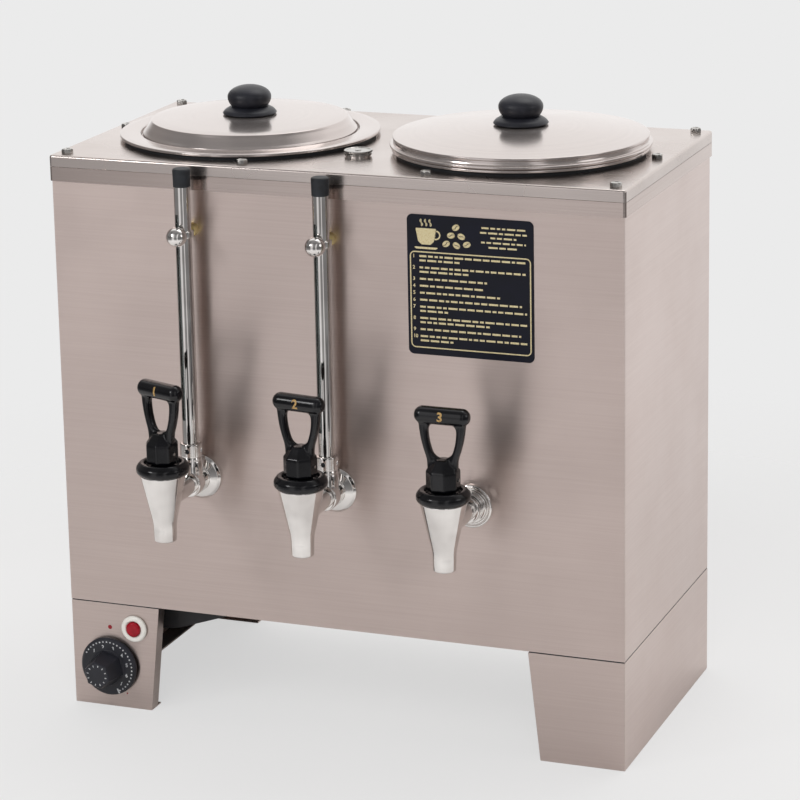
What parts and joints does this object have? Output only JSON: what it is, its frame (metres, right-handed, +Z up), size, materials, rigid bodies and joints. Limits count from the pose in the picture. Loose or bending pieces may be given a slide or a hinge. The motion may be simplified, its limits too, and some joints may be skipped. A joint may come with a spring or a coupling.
{
  "type": "double coffee urn",
  "caption": "Counter-top double coffee urn of stainless sheet on folded legs, with a coffee pot, a milk pot, stirrup taps, level gauges, a dial and a pilot lamp.",
  "frame": {"origin": "middle of the whole urn's bounding box at counter level, taps and cable gland included", "axes": "+Z up, +X to the right seen from the taps, taps towards -Y"},
  "size_m": [0.6, 0.4264, 0.6305],
  "materials": {
    "stainless_sheet": "satin",
    "polished_chrome": "polished",
    "black_moulded": "semi-gloss",
    "black_rubber": "matte",
    "brass_fittings": "polished",
    "steel_rod": "satin",
    "black_cover": "satin",
    "switch_housing": "matte",
    "red_lens": "clear red",
    "label_face": "semi-gloss",
    "clear_glass": "clear",
    "white_plastic": "smooth"
  },
  "bodies": {
    "urn": {"front_panel": "stainless_sheet", "rear_wrap": "stainless_sheet", "bottom_pan": "stainless_sheet", "rim_frame": "stainless_sheet", "top_deck": "stainless_sheet", "deck_bolts": "polished_chrome", "left_leg": "stainless_sheet", "right_leg": "stainless_sheet", "water_tank": "stainless_sheet", "coffee_pot": "stainless_sheet", "milk_pot": "stainless_sheet", "pot_seals": "black_rubber", "filler_neck": "polished_chrome", "heating_element": "steel_rod", "terminal_cover": "black_cover", "thermostat_body": "switch_housing", "lamp_bezel": "white_plastic", "lamp_lens": "red_lens", "cable_gland": "black_moulded", "escutcheons": "polished_chrome", "shank_nuts": "brass_fittings", "bonnets": "black_moulded", "label_plate": "label_face", "gauge_tees": "polished_chrome", "gauge_nuts": "polished_chrome", "gauge_glasses": "clear_glass", "gauge_guards": "polished_chrome", "gauge_clips": "polished_chrome", "gauge_spacers": "brass_fittings", "gauge_dome_nuts": "polished_chrome", "coffee_tap_body": "polished_chrome", "water_tap_body": "polished_chrome", "milk_tap_body": "polished_chrome"},
    "coffee_lid_set": {"coffee_lid": "stainless_sheet", "coffee_lid_knob": "black_moulded"},
    "milk_lid_set": {"milk_lid": "stainless_sheet", "milk_lid_knob": "black_moulded"},
    "filler_cap": {"filler_cap": "polished_chrome"},
    "coffee_gauge_cap": {"coffee_gauge_cap": "black_rubber"},
    "water_gauge_cap": {"water_gauge_cap": "black_rubber"},
    "dial": {"thermostat_dial": "black_moulded", "thermostat_shaft": "steel_rod"},
    "coffee_carrier": {"coffee_thrust_washer": "white_plastic", "coffee_spring": "steel_rod"},
    "coffee_valve": {"coffee_stem": "steel_rod", "coffee_seat_cup": "black_rubber"},
    "coffee_lever": {"coffee_handle": "black_moulded", "coffee_handle_pin": "steel_rod"},
    "water_carrier": {"water_thrust_washer": "white_plastic", "water_spring": "steel_rod"},
    "water_valve": {"water_stem": "steel_rod", "water_seat_cup": "black_rubber"},
    "water_lever": {"water_handle": "black_moulded", "water_handle_pin": "steel_rod"},
    "milk_carrier": {"milk_thrust_washer": "white_plastic", "milk_spring": "steel_rod"},
    "milk_valve": {"milk_stem": "steel_rod", "milk_seat_cup": "black_rubber"},
    "milk_lever": {"milk_handle": "black_moulded", "milk_handle_pin": "steel_rod"}
  },
  "joints": [
    {"name": "coffee_lid_lift", "type": "slide", "parent": "urn", "child": "coffee_lid_set", "axis": [0, 0, 1], "range_m": [0, 0.12]},
    {"name": "milk_lid_lift", "type": "slide", "parent": "urn", "child": "milk_lid_set", "axis": [0, 0, 1], "range_m": [0, 0.12]},
    {"name": "filler_cap_lift", "type": "slide", "parent": "urn", "child": "filler_cap", "axis": [0, 0, 1], "range_m": [0, 0.03]},
    {"name": "coffee_gauge_cap_lift", "type": "slide", "parent": "urn", "child": "coffee_gauge_cap", "axis": [0, 0, 1], "range_m": [0, 0.03]},
    {"name": "water_gauge_cap_lift", "type": "slide", "parent": "urn", "child": "water_gauge_cap", "axis": [0, 0, 1], "range_m": [0, 0.03]},
    {"name": "dial_turn", "type": "hinge", "parent": "urn", "child": "dial", "pos_m": [-0.256, -0.09875, 0.045], "axis": [0, -1, 0], "range_deg": [0, 280]},
    {"name": "coffee_handle_swivel", "type": "hinge", "parent": "urn", "child": "coffee_carrier", "pos_m": [-0.146, -0.18575, 0.2977], "axis": [0, 0, 1], "continuous": true},
    {"name": "coffee_valve_lift", "type": "slide", "parent": "coffee_carrier", "child": "coffee_valve", "axis": [0, 0, 1], "range_m": [0, 0.0068], "deforming": ["coffee_spring"]},
    {"name": "coffee_handle_tilt", "type": "hinge", "parent": "coffee_valve", "child": "coffee_lever", "pos_m": [-0.146, -0.18575, 0.3107], "axis": [0.9397, -0.342, 0], "range_deg": [0, 35], "stiffness_Nm_per_rad": 0.6, "springref_deg": -2.86},
    {"name": "water_handle_swivel", "type": "hinge", "parent": "urn", "child": "water_carrier", "pos_m": [0, -0.18575, 0.2977], "axis": [0, 0, 1], "continuous": true},
    {"name": "water_valve_lift", "type": "slide", "parent": "water_carrier", "child": "water_valve", "axis": [0, 0, 1], "range_m": [0, 0.0068], "deforming": ["water_spring"]},
    {"name": "water_handle_tilt", "type": "hinge", "parent": "water_valve", "child": "water_lever", "pos_m": [0, -0.18575, 0.3107], "axis": [0.9903, -0.1392, 0], "range_deg": [0, 35], "stiffness_Nm_per_rad": 0.6, "springref_deg": -2.86},
    {"name": "milk_handle_swivel", "type": "hinge", "parent": "urn", "child": "milk_carrier", "pos_m": [0.146, -0.18575, 0.2977], "axis": [0, 0, 1], "continuous": true},
    {"name": "milk_valve_lift", "type": "slide", "parent": "milk_carrier", "child": "milk_valve", "axis": [0, 0, 1], "range_m": [0, 0.0068], "deforming": ["milk_spring"]},
    {"name": "milk_handle_tilt", "type": "hinge", "parent": "milk_valve", "child": "milk_lever", "pos_m": [0.146, -0.18575, 0.3107], "axis": [1, 0, 0], "range_deg": [0, 35], "stiffness_Nm_per_rad": 0.6, "springref_deg": -2.86}
  ],
  "couplings": [
    {"joint": "coffee_valve_lift", "follows": "coffee_handle_tilt", "m_per_rad": 0.011},
    {"joint": "water_valve_lift", "follows": "water_handle_tilt", "m_per_rad": 0.011},
    {"joint": "milk_valve_lift", "follows": "milk_handle_tilt", "m_per_rad": 0.011}
  ]
}
